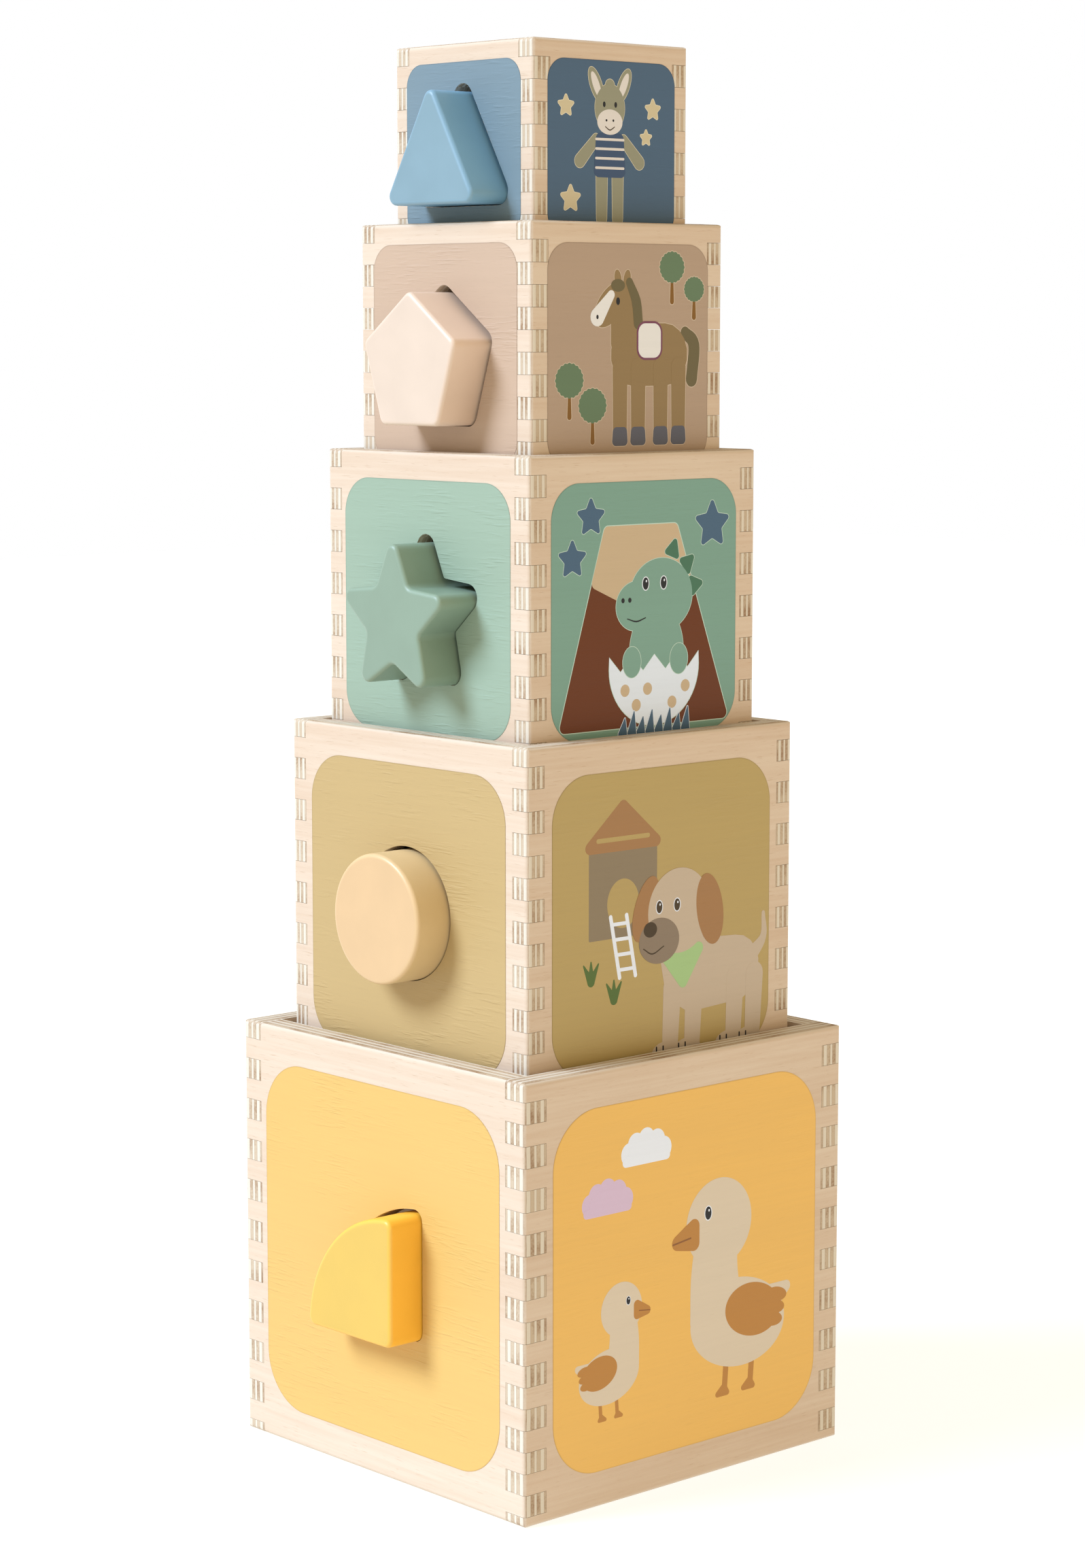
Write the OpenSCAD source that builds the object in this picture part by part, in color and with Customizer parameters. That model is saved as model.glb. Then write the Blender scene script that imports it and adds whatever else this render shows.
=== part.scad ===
/* [Cubes] */
// Outer edge of the bottom cube, the largest
cube_1_size = 142.5; // [140:0.5:150]
// Outer edge of the second cube
cube_2_size = 118; // [116:0.5:118.5]
// Outer edge of the third cube
cube_3_size = 100; // [99:0.5:100.5]
// Outer edge of the fourth cube
cube_4_size = 84; // [83:0.5:84.5]
// Outer edge of the top cube, the smallest
cube_5_size = 67.5; // [66:0.5:68]
// Thickness of the plywood in the bottom cube's walls
ply_bottom = 9; // [8:0.5:10]
// Thickness of the plywood in the other cubes' walls
ply_upper = 7; // [6:0.5:7]
// Radius of the sanded outer edges and corners
edge_r = 1.5; // [0.5:0.25:2.5]

/* [Trays and decks] */
// How far the deck lies below the rim of the bottom cube, and the second cube sinks in
tray_1_depth = 15.5; // [10:0.5:18]
// The same for the second cube
tray_2_depth = 10; // [8:0.5:12]
// The same for the third cube
tray_3_depth = 11; // [8:0.5:12]
// The same for the fourth cube
tray_4_depth = 10.5; // [8:0.5:11]
// Depth of the shallow tray in the top cube, whose deck clears the tip of the triangle hole
tray_5_depth = 7.5; // [6:0.5:7.5]
// Thickness of the deck panel
deck_thickness = 5; // [4:0.5:6]
// Depth of the groove in the walls that holds the deck
groove_depth = 2; // [1:0.5:3]

/* [Finger joints] */
// Height of one finger
finger = 7; // [6:0.5:8]
// Height of the topmost finger
top_finger = 6; // [5:0.5:7]
// Width of the glue line between two fingers
glue_line = 0.1; // [0.05:0.05:0.2]

/* [Shape blocks] */
// Length of a block along the way it slides
block_length = 35; // [30:1:40]
// How far the quarter and round blocks stand out of their wall
low_stand_out = 13.3; // [12:0.1:16]
// How far the star, pentagon and triangle blocks stand out of their wall
high_stand_out = 15.2; // [12:0.1:16]
// Radius of the quarter-circle block
quarter_r = 42.2; // [40:0.1:43]
// Radius of the round block
round_r = 21.3; // [20:0.1:22]
// Radius of the star through its sharp points
star_r = 29.2; // [27:0.1:30]
// Radius of the star through its inner corners
star_inner_r = 13.5; // [12:0.1:15]
// Radius of the pentagon through its sharp corners
pentagon_r = 23.8; // [22:0.1:25]
// Radius of the triangle through its sharp corners
triangle_r = 26; // [24:0.1:27]
// Rounding of the blocks' corners, seen from the front
corner_r = 3; // [2:0.25:4]
// Rounding of the edges round each end of a block
end_r = 1.5; // [0.5:0.25:2]

/* [Hidden] */

// One entry per cube, from the bottom up
size = [cube_1_size, cube_2_size, cube_3_size, cube_4_size, cube_5_size];
ply = [ply_bottom, ply_upper, ply_upper, ply_upper, ply_upper];
tray = [tray_1_depth, tray_2_depth, tray_3_depth, tray_4_depth, tray_5_depth];
stand_out = [low_stand_out, low_stand_out, high_stand_out, high_stand_out, high_stand_out];

// Play round each block in its hole, and how far the block leans sideways at rest
play = [0.8, 0.8, 1.5, 1.3, 1.5];
lean = [0.3, 0, 0.4, -0.2, 0.7];
// Gap left under a block where it lies on the lower edge of its hole
rest_gap = 0.3;
// Height of each outline's centre above the middle of its wall, which centres its height there
shape_rise = [0, 0, -2.4, -2.2, -3.5];

// The front wall faces -Y, and the origin is under the middle of the whole, block included
tower_y = low_stand_out / 2;
FRONT = 0;
PICTURE = 90;
BACK = 180;
LEFT = 270;

// Loose fit of the deck's edges in its groove
deck_play = 0.05;
// Overshoot of cutters past the solid that they cut
over = 1;
CORNER_STEPS = 6;
ARC_STEPS = 20;
$fn = 96;

WOOD = [0.95, 0.86, 0.74];
DECK_WOOD = [0.90, 0.80, 0.66];
BLOCK_COLOUR = [
    [0.98, 0.80, 0.35], [0.95, 0.82, 0.63], [0.58, 0.70, 0.60], [0.97, 0.88, 0.79], [0.56, 0.73, 0.80]
];

// Height of a cube's lower rim above the floor
function base_z(k) = k == 0 ? 0 : base_z(k - 1) + size[k - 1] - tray[k - 1];

// ---- Finger joints -------------------------------------------------------
// Cuts between the top and the bottom finger. A remainder under a third of a finger joins the last one.
function cuts(h) = floor((h - top_finger) / finger + 0.65);

// Height of cut j, counted down from the rim, where cut 0 is the rim and the last is the foot
function cut_z(h, j) = j == 0 ? h : j > cuts(h) ? 0 : h - top_finger - finger * (j - 1);

// The same with half of the glue line taken off the finger that stands out
function edge_z(h, j, parity) =
    j == 0 || j > cuts(h) ? cut_z(h, j) : cut_z(h, j) + ((j - 1) % 2 == parity ? 0.5 : -0.5) * glue_line;

// Half of a wall's outline: fingers of one parity reach the corner, the others stop at the next wall
function finger_side(h, t, parity) = [
    for (j = [0 : cuts(h)])
        let (u = j % 2 == parity ? h / 2 : h / 2 - t - glue_line)
        each [[u, edge_z(h, j, parity)], [u, edge_z(h, j + 1, parity)]]
];

function wall_outline(h, t, parity) =
    let (side = finger_side(h, t, parity), last = len(side) - 1)
    concat(side, [for (i = [last : -1 : 0]) [-side[i].x, side[i].y]]);

// ---- Outlines of the shapes ----------------------------------------------
function arc(centre, r, from, to, steps) =
    [for (i = [0 : steps]) centre + r * [cos(from + (to - from) * i / steps), sin(from + (to - from) * i / steps)]];

// Points at even angles round a circle, the first at the top, on the radii given in turn
function spokes(radii, count) = [
    for (i = [0 : count - 1]) radii[i % len(radii)] * [sin(-360 * i / count), cos(-360 * i / count)]
];

// A corner b between a and c as an arc. Growing the outline keeps the arc's centre and changes its radius.
function corner(a, b, c, r, grow) =
    let (
        to_a = (a - b) / norm(a - b),
        to_c = (c - b) / norm(c - b),
        half = acos(to_a * to_c) / 2,
        centre = b + (to_a + to_c) / norm(to_a + to_c) * r / sin(half),
        outward = cross(b - a, c - b) > 0 ? 1 : -1,
        start = b + to_a * r / tan(half) - centre,
        end = b + to_c * r / tan(half) - centre,
        from = atan2(start.y, start.x),
        turn = atan2(end.y, end.x) - from,
        sweep = turn - 360 * round(turn / 360)
    )
    arc(centre, r + outward * grow, from, from + sweep, CORNER_STEPS);

function rounded(points, grow) =
    let (n = len(points))
    [for (i = [0 : n - 1]) each corner(points[(i + n - 1) % n], points[i], points[(i + 1) % n], corner_r, grow)];

// A quarter circle with its square corner at the lower right, centred on its own width and height
function quarter(grow) =
    let (
        apex = [quarter_r / 2, -quarter_r / 2],
        reach = sqrt(pow(quarter_r - corner_r, 2) - pow(corner_r, 2)),
        blend = asin(corner_r / (quarter_r - corner_r)),
        r = corner_r + grow
    )
    concat(
        arc(apex + [-corner_r, reach], r, 0, 90 + blend, CORNER_STEPS),
        arc(apex, quarter_r + grow, 90 + blend, 180 - blend, ARC_STEPS),
        arc(apex + [-reach, corner_r], r, 180 - blend, 270, CORNER_STEPS),
        arc(apex + [-corner_r, corner_r], r, 270, 360, CORNER_STEPS)
    );

function outline(k, grow) =
    k == 0 ? quarter(grow)
    : k == 2 ? rounded(spokes([star_r, star_inner_r], 10), grow)
    : k == 3 ? rounded(spokes([pentagon_r], 5), grow)
    : rounded(spokes([triangle_r], 3), grow);

// ---- Walls and decks -----------------------------------------------------
module at_cube(k, side = FRONT) {
    translate([0, tower_y, base_z(k)]) rotate([0, 0, side]) children();
}

module rounded_square(w) {
    square([w, w - 2 * edge_r], center = true);
    square([w - 2 * edge_r, w], center = true);
    for (x = [-1, 1], y = [-1, 1])
        translate([x, y] * (w / 2 - edge_r)) circle(edge_r);
}

// The cube as a solid block with its outer edges sanded round
module sanded_cube(w) {
    translate([0, 0, w / 2]) intersection() {
        linear_extrude(w, center = true) rounded_square(w);
        rotate([90, 0, 0]) linear_extrude(w, center = true) rounded_square(w);
        rotate([0, 90, 0]) linear_extrude(w, center = true) rounded_square(w);
    }
}

// The space that the deck takes, with its edges let into the four walls
module deck_slab(k, slack) {
    side = size[k] - 2 * ply[k] + 2 * groove_depth - 2 * slack;
    translate([-side / 2, -side / 2, size[k] - tray[k] - deck_thickness]) cube([side, side, deck_thickness]);
}

// One wall, its outer face towards -Y, standing on z = 0 about the cube's axis
module wall(k, parity) {
    w = size[k];
    difference() {
        intersection() {
            translate([0, ply[k] - w / 2, 0]) rotate([90, 0, 0])
                linear_extrude(ply[k]) polygon(wall_outline(w, ply[k], parity));
            sanded_cube(w);
        }
        deck_slab(k, 0);
    }
}

module shape_hole(k) {
    w = size[k];
    translate([0, ply[k] + over - w / 2, w / 2 + shape_rise[k]]) rotate([90, 0, 0]) {
        if (k == 1) cylinder(h = ply[k] + 2 * over, r = round_r + play[k]);
        else linear_extrude(ply[k] + 2 * over) polygon(outline(k, play[k]));
    }
}

module front_wall(k) {
    color(WOOD) at_cube(k, FRONT) difference() {
        wall(k, 1);
        shape_hole(k);
    }
}

module side_wall(k, side) {
    color(WOOD) at_cube(k, side) wall(k, side == BACK ? 1 : 0);
}

module deck(k) {
    color(DECK_WOOD) at_cube(k) deck_slab(k, deck_play);
}

// ---- Shape blocks --------------------------------------------------------
// Puts a block that runs along +Z from its front end into its hole, resting on the hole's lower edge
module in_hole(k) {
    at_cube(k)
        translate([lean[k], -size[k] / 2 - stand_out[k], size[k] / 2 + shape_rise[k] - play[k] + rest_gap])
            rotate([-90, 0, 0]) mirror([0, 1, 0]) children();
}

// Rings of an outline drawn in at both ends and skinned, with a fan of triangles closing each end
module rounded_block(k) {
    bevel = [[0, end_r], [0.3 * end_r, 0.3 * end_r], [end_r, 0]];
    steps = concat(
        bevel,
        [for (i = [len(bevel) - 1 : -1 : 0]) [block_length - bevel[i][0], bevel[i][1]]]
    );
    n = len(outline(k, 0));
    last = (len(steps) - 1) * n;
    rings = [for (s = steps) each [for (p = outline(k, -s[1])) [p.x, p.y, s[0]]]];
    points = concat(rings, [[0, 0, 0], [0, 0, block_length]]);
    front_fan = [for (i = [0 : n - 1]) [len(rings), i, (i + 1) % n]];
    inner_fan = [for (i = [0 : n - 1]) [len(rings) + 1, last + (i + 1) % n, last + i]];
    sides = [
        for (s = [0 : len(steps) - 2], i = [0 : n - 1])
            let (a = s * n + i, b = s * n + (i + 1) % n)
            each [[a, a + n, b + n], [a, b + n, b]]
    ];
    polyhedron(points, concat(front_fan, inner_fan, sides));
}

module shaped_block(k) {
    color(BLOCK_COLOUR[k]) in_hole(k) rounded_block(k);
}

// Half of the round block's section: a bar with a quarter-round at both ends
module round_block() {
    color(BLOCK_COLOUR[1]) in_hole(1) rotate_extrude() {
        square([round_r - end_r, block_length]);
        translate([0, end_r]) square([round_r, block_length - 2 * end_r]);
        for (z = [end_r, block_length - end_r]) translate([round_r - end_r, z]) circle(end_r);
    }
}

module cube_1_front_wall() front_wall(0);
module cube_1_picture_wall() side_wall(0, PICTURE);
module cube_1_back_wall() side_wall(0, BACK);
module cube_1_left_wall() side_wall(0, LEFT);
module cube_1_deck() deck(0);
module cube_2_front_wall() front_wall(1);
module cube_2_picture_wall() side_wall(1, PICTURE);
module cube_2_back_wall() side_wall(1, BACK);
module cube_2_left_wall() side_wall(1, LEFT);
module cube_2_deck() deck(1);
module cube_3_front_wall() front_wall(2);
module cube_3_picture_wall() side_wall(2, PICTURE);
module cube_3_back_wall() side_wall(2, BACK);
module cube_3_left_wall() side_wall(2, LEFT);
module cube_3_deck() deck(2);
module cube_4_front_wall() front_wall(3);
module cube_4_picture_wall() side_wall(3, PICTURE);
module cube_4_back_wall() side_wall(3, BACK);
module cube_4_left_wall() side_wall(3, LEFT);
module cube_4_deck() deck(3);
module cube_5_front_wall() front_wall(4);
module cube_5_picture_wall() side_wall(4, PICTURE);
module cube_5_back_wall() side_wall(4, BACK);
module cube_5_left_wall() side_wall(4, LEFT);
module cube_5_deck() deck(4);
module quarter_block() shaped_block(0);
module star_block() shaped_block(2);
module pentagon_block() shaped_block(3);
module triangle_block() shaped_block(4);

cube_1_front_wall();
cube_1_picture_wall();
cube_1_back_wall();
cube_1_left_wall();
cube_1_deck();
cube_2_front_wall();
cube_2_picture_wall();
cube_2_back_wall();
cube_2_left_wall();
cube_2_deck();
cube_3_front_wall();
cube_3_picture_wall();
cube_3_back_wall();
cube_3_left_wall();
cube_3_deck();
cube_4_front_wall();
cube_4_picture_wall();
cube_4_back_wall();
cube_4_left_wall();
cube_4_deck();
cube_5_front_wall();
cube_5_picture_wall();
cube_5_back_wall();
cube_5_left_wall();
cube_5_deck();
quarter_block();
round_block();
star_block();
pentagon_block();
triangle_block();
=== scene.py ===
"""A stacking shape sorter: five open plywood cubes, each with a loose painted block in its front wall.

The script follows the toy as it is put together: walls, decks, painted fields, printed pictures and
blocks, and then the studio that it stands in. Lengths are in metres in the toy's own axes: the holes
look towards -Y, the pictures on their right towards +X, and +Z runs up the tower.
"""

import bpy
import numpy as np
from mathutils import Matrix, Vector


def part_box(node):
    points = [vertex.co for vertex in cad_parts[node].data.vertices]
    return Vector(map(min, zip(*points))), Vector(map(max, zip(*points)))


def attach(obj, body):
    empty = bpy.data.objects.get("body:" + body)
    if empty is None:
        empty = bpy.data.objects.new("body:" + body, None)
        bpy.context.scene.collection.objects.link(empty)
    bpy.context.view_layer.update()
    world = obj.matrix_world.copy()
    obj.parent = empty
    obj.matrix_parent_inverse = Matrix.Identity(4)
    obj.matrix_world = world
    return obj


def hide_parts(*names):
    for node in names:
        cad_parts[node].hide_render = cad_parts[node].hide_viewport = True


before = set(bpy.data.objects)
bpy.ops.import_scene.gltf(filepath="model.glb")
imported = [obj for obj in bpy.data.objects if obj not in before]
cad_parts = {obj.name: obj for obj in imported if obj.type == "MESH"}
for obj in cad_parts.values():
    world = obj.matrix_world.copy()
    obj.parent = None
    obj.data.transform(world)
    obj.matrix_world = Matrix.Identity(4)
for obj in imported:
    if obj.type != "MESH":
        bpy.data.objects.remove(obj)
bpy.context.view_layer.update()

# ---- Walls ---------------------------------------------------------------------------------------
# Four walls a cube, sawn from seven-ply birch board. Their ends are cut into fingers, glued into each
# other and sanded flush with the faces, so every corner shows the plies' edges in turn.
MM = 0.001
CUBES = range(1, 6)
# Which way a wall's length runs, seen from outside with its right hand as the positive end
SIDES = {"front": (1, 0), "picture": (0, 1), "back": (-1, 0), "left": (0, -1)}
# Where one ply ends and the next begins, as shares of the board's thickness
PLY_EDGES = (0.09, 0.27, 0.44, 0.56, 0.73, 0.91)


def tone(red, green, blue):
    """A colour given in screen values, 0 to 255, as the linear values that a shader takes."""
    share = np.array([red, green, blue]) / 255
    linear = np.where(share > 0.04045, ((share + 0.055) / 1.055) ** 2.4, share / 12.92)
    return (*linear.tolist(), 1.0)


def put(tree, socket, value):
    """Links a socket to the input, sets a value on it, or leaves it alone for None."""
    if isinstance(value, bpy.types.NodeSocket):
        tree.links.new(value, socket)
    elif value is not None:
        socket.default_value = value


def add(tree, kind, *inputs, **settings):
    """Adds a shader node, fills its inputs in order, and returns its first output."""
    node = tree.nodes.new("ShaderNode" + kind)
    for name, value in settings.items():
        setattr(node, name, value)
    for socket, value in zip(node.inputs, inputs):
        put(tree, socket, value)
    return node.outputs[0]


def calc(tree, operation, *inputs):
    """One sum on numbers, by its name in the Math node."""
    return add(tree, "Math", *inputs, operation=operation)


def span(tree, value, low, high, to_low=0.0, to_high=1.0):
    """Stretches the values from low to high over a new range, and holds what lies outside."""
    return add(tree, "MapRange", value, low, high, to_low, to_high)


def mix(tree, share, first, second, blend_type="MIX"):
    """The first colour, with a share of the second laid over it."""
    node = tree.nodes.new("ShaderNodeMix")
    node.data_type = "RGBA"
    node.blend_type = blend_type
    for socket, value in zip((0, 6, 7), (share, first, second)):
        put(tree, node.inputs[socket], value)
    return node.outputs[2]


def noise(tree, place, per_metre, detail=2.0):
    """Soft noise from 0 to 1, with so many features a metre along X, Y and Z."""
    stretched = add(tree, "Mapping", place, None, None, per_metre)
    return add(tree, "TexNoise", stretched, None, 1.0, detail)


def steps(tree, value, stops, interpolation="LINEAR"):
    """A ramp of grey values: stops are pairs of place and brightness."""
    node = tree.nodes.new("ShaderNodeValToRGB")
    ramp = node.color_ramp
    ramp.interpolation = interpolation
    for place, _ in stops[2:]:
        ramp.elements.new(place)
    for element, (place, grey) in zip(ramp.elements, stops):
        element.position = place
        element.color = (grey, grey, grey, 1)
    put(tree, node.inputs[0], value)
    return node.outputs[0]


def along(run, length, width):
    """Noise scales for X, Y and Z: one value along axis number run, and another across it."""
    return [length if axis == run else width for axis in range(3)]


def grain(tree, place, run):
    """Grain of a peeled birch veneer whose fibres lie along axis number run.

    It gives two patterns from 0 to 1: waves and streaks, dark to light, and the short dark pores.
    Both are noise stretched along the fibres.
    """
    waves = noise(tree, place, along(run, 4, 55), 3.0)
    streaks = noise(tree, place, along(run, 25, 800))
    pores = noise(tree, place, along(run, 190, 3200), 1.0)
    figure = calc(tree, "ADD", calc(tree, "MULTIPLY", waves, 0.6), calc(tree, "MULTIPLY", streaks, 0.4))
    return span(tree, figure, 0.35, 0.65), span(tree, pores, 0.66, 0.78)


def new_finish(name, roughness, shine=0.4):
    """An empty material: its node tree and its shader, with an even roughness and strength of shine."""
    material = bpy.data.materials.new(name)
    material.use_nodes = True
    shader = material.node_tree.nodes["Principled BSDF"]
    shader.inputs["Roughness"].default_value = roughness
    shader.inputs["Specular IOR Level"].default_value = shine
    return material, material.node_tree, shader


def relief(tree, shader, height, depth, strength=1.0):
    """Lets the height pattern dent the surface by up to depth."""
    node = tree.nodes.new("ShaderNodeBump")
    node.inputs["Strength"].default_value = strength
    node.inputs["Distance"].default_value = depth
    put(tree, node.inputs["Height"], height)
    tree.links.new(node.outputs["Normal"], shader.inputs["Normal"])


# Colours of the outer veneer, of plies cut along and across their fibres, and of the seams between them
VENEER_DARK = tone(200, 177, 153)
VENEER_PALE = tone(210, 192, 171)
VENEER_PORE = tone(182, 150, 117)
LONG_GRAIN = tone(210, 201, 184)
END_GRAIN_PALE = tone(190, 172, 147)
END_GRAIN_DARK = tone(142, 110, 80)
PLY_SEAM = tone(139, 99, 65)
# Half the width of the dark seam between two plies, as a share of the board's thickness
SEAM_HALF = 0.016


def plywood(name, across, outer, inner):
    """Birch plywood lying across an axis, 0 for X or 1 for Y, from its outer plane to its inner one.

    The depth into the board picks the ply. The fibres of plies 1, 3, 5 and 7 lie level and the others'
    upright, so a cut shows dark end grain where the surface looks along a ply's fibres, and pale long
    grain where it looks across them. The faces show the outer veneer's grain.
    """
    material, tree, shader = new_finish(name, 0.55, 0.3)
    source = tree.nodes.new("ShaderNodeTexCoord")
    place = source.outputs["Object"]
    split_place = add(tree, "SeparateXYZ", place).node.outputs
    split_normal = add(tree, "SeparateXYZ", source.outputs["Normal"]).node.outputs
    level = 1 - across

    wander = noise(tree, place, (160, 160, 160))
    depth = span(tree, split_place[across], outer, inner)
    depth = calc(tree, "ADD", depth, calc(tree, "MULTIPLY", calc(tree, "SUBTRACT", wander, 0.5), 0.03))
    starts = (0.0,) + PLY_EDGES
    level_ply = steps(tree, depth, [(s, 1 - i % 2) for i, s in enumerate(starts)], "CONSTANT")
    seam_stops = [(0.0, 0)]
    for edge in PLY_EDGES:
        seam_stops += [(edge - SEAM_HALF, 0), (edge, 1), (edge + SEAM_HALF, 0)]
    seam = steps(tree, depth, seam_stops)

    end_level = calc(tree, "MULTIPLY", level_ply, calc(tree, "ABSOLUTE", split_normal[level]))
    upright_ply = calc(tree, "SUBTRACT", 1.0, level_ply)
    end_upright = calc(tree, "MULTIPLY", upright_ply, calc(tree, "ABSOLUTE", split_normal[2]))
    end_grain = span(tree, calc(tree, "ADD", end_level, end_upright), 0.35, 0.85)
    cut = span(tree, calc(tree, "ABSOLUTE", split_normal[across]), 0.95, 0.45)

    figure, pores = grain(tree, place, level)
    face = mix(tree, figure, VENEER_DARK, VENEER_PALE)
    face = mix(tree, calc(tree, "MULTIPLY", pores, 0.4), face, VENEER_PORE)
    speckle = noise(tree, place, (1400, 1400, 1400), 3.0)
    patch = noise(tree, place, (90, 90, 130), 1.0)
    faint_speckle = calc(tree, "MULTIPLY", speckle, 0.5)
    darkness = calc(tree, "ADD", faint_speckle, calc(tree, "MULTIPLY", patch, 0.9))
    ends = mix(tree, span(tree, darkness, 0.62, 1.0), END_GRAIN_PALE, END_GRAIN_DARK)
    edges = mix(tree, end_grain, LONG_GRAIN, ends)
    edges = mix(tree, calc(tree, "MULTIPLY", seam, 0.55), edges, PLY_SEAM)
    tree.links.new(mix(tree, cut, face, edges), shader.inputs["Base Color"])
    height = calc(tree, "SUBTRACT", figure, calc(tree, "ADD", pores, faint_speckle))
    relief(tree, shader, height, 0.06 * MM, 0.6)
    return material


def cube(k):
    """A cube's middle, half of its size, and the thickness of its plywood, read from its front wall."""
    low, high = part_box(f"cube_{k}_front_wall")
    half = high.x
    return np.array([0, low.y + half, low.z + half]), half, high.y - low.y


def refinish(node, material):
    """Gives every material slot of a CAD node the finish."""
    for material_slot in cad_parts[node].material_slots:
        material_slot.material = material


for k in CUBES:
    middle, half, ply = cube(k)
    for side, (right_x, right_y) in SIDES.items():
        across = 0 if right_y else 1
        outward = right_y if right_y else -right_x
        outer = middle[across] + outward * half
        board = plywood(f"birch plywood, cube {k} {side}", across, outer, outer - outward * ply)
        refinish(f"cube_{k}_{side}_wall", board)

# ---- Decks ---------------------------------------------------------------------------------------
# A thinner birch board in each cube, let into grooves in the four walls a little below the rim. It
# carries the next cube, and the space above it is the tray that keeps that cube from sliding off.
DECK_DARK = tone(190, 167, 141)
DECK_PALE = tone(202, 182, 158)
DECK_PORE = tone(165, 131, 98)


def deck_board():
    """Birch veneer with its fibres from left to right, a shade darker than the walls."""
    material, tree, shader = new_finish("birch deck board", 0.6, 0.25)
    place = tree.nodes.new("ShaderNodeTexCoord").outputs["Object"]
    figure, pores = grain(tree, place, 0)
    face = mix(tree, figure, DECK_DARK, DECK_PALE)
    face = mix(tree, calc(tree, "MULTIPLY", pores, 0.6), face, DECK_PORE)
    tree.links.new(face, shader.inputs["Base Color"])
    relief(tree, shader, calc(tree, "SUBTRACT", figure, pores), 0.06 * MM, 0.6)
    return material


deck_finish = deck_board()
for k in CUBES:
    refinish(f"cube_{k}_deck", deck_finish)

# ---- Painted fields ------------------------------------------------------------------------------
# A rounded square of thin matt paint, rolled through a stencil onto every wall. The wood's grain shows
# through it, it is darker in a thin line along its edge, and on a front wall it reaches the hole.
PAINT_DEPTH = 0.08 * MM
PAINT_ROOT = 0.02 * MM
# Width of the darker line along the stencil's edge
RIDGE = 0.45 * MM
FIELD_HALF = (59.4, 48.7, 41.0, 35.3, 27.8)
FIELD_CORNER = (19.0, 15.5, 12.0, 8.7, 7.2)
FIELD_NAMES = ("yellow", "olive", "green", "mauve", "blue")
# Colours of the paint on the front walls, matched to their look in the key light, and on the other
# three, matched to the shaded picture walls: the two differ partly by painted light and shade
FRONT_PAINT = (
    tone(207, 169, 97),
    tone(179, 153, 104),
    tone(142, 162, 142),
    tone(183, 158, 135),
    tone(112, 132, 141),
)
SHADED_SIDE_PAINT = (
    tone(226, 181, 97),
    tone(175, 153, 98),
    tone(118, 156, 143),
    tone(169, 147, 127),
    tone(70, 96, 122),
)
# How loosely each block fits its hole, and how far the hole's middle lies above the wall's
PLAY = (0.8, 0.8, 1.5, 1.3, 1.5)
HOLE_RISE = (0, 0, -2.4, -2.2, -3.5)
QUARTER_R = 42.2
ROUND_R = 21.3
STAR_R = 29.2
STAR_INNER_R = 13.5
PENTAGON_R = 23.8
TRIANGLE_R = 26
CORNER_R = 3


def turn(degrees):
    """Unit vectors at the given angles, counted from the right-hand side towards the top."""
    angle = np.radians(degrees)
    return np.stack([np.cos(angle), np.sin(angle)], -1)


def softened(corners, radius, arc_steps=8, side_steps=10):
    """Outline of a polygon with rounded corners, and the outline's outward normals.

    A corner's arc has its centre on the line that halves the corner, at radius / sin(half of its angle),
    and touches both sides. Where the outline turns inwards, the arc bends and its normal points the
    other way. Each arc is followed by evenly spaced points on the straight side to the next arc.
    """
    corner = np.array(corners, float)
    back = np.roll(corner, 1, 0) - corner
    ahead = np.roll(corner, -1, 0) - corner
    back /= np.linalg.norm(back, axis=1)[:, None]
    ahead /= np.linalg.norm(ahead, axis=1)[:, None]
    bend = np.where(back[:, 1] * ahead[:, 0] - back[:, 0] * ahead[:, 1] > 0, 1.0, -1.0)[:, None]
    half_angle = np.arccos((back * ahead).sum(1))[:, None] / 2
    halving = (back + ahead) / np.linalg.norm(back + ahead, axis=1)[:, None]
    centre = corner + halving * radius / np.sin(half_angle)
    start = corner + back * radius / np.tan(half_angle) - centre
    end = corner + ahead * radius / np.tan(half_angle) - centre
    first = np.arctan2(start[:, 1], start[:, 0])
    sweep = (np.arctan2(end[:, 1], end[:, 0]) - first + np.pi) % (2 * np.pi) - np.pi
    angle = first[:, None] + sweep[:, None] * np.linspace(0, 1, arc_steps + 1)
    spoke = np.stack([np.cos(angle), np.sin(angle)], -1)
    arcs = centre[:, None] + radius * spoke
    arc_normals = spoke * bend[:, None]
    share = np.linspace(0, 1, side_steps + 1)[1:-1, None]
    sides = arcs[:, -1:] + (np.roll(arcs, -1, 0)[:, :1] - arcs[:, -1:]) * share
    side_normals = np.broadcast_to(arc_normals[:, -1:], sides.shape)
    outline = np.concatenate([arcs, sides], 1).reshape(-1, 2)
    return outline, np.concatenate([arc_normals, side_normals], 1).reshape(-1, 2)


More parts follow.
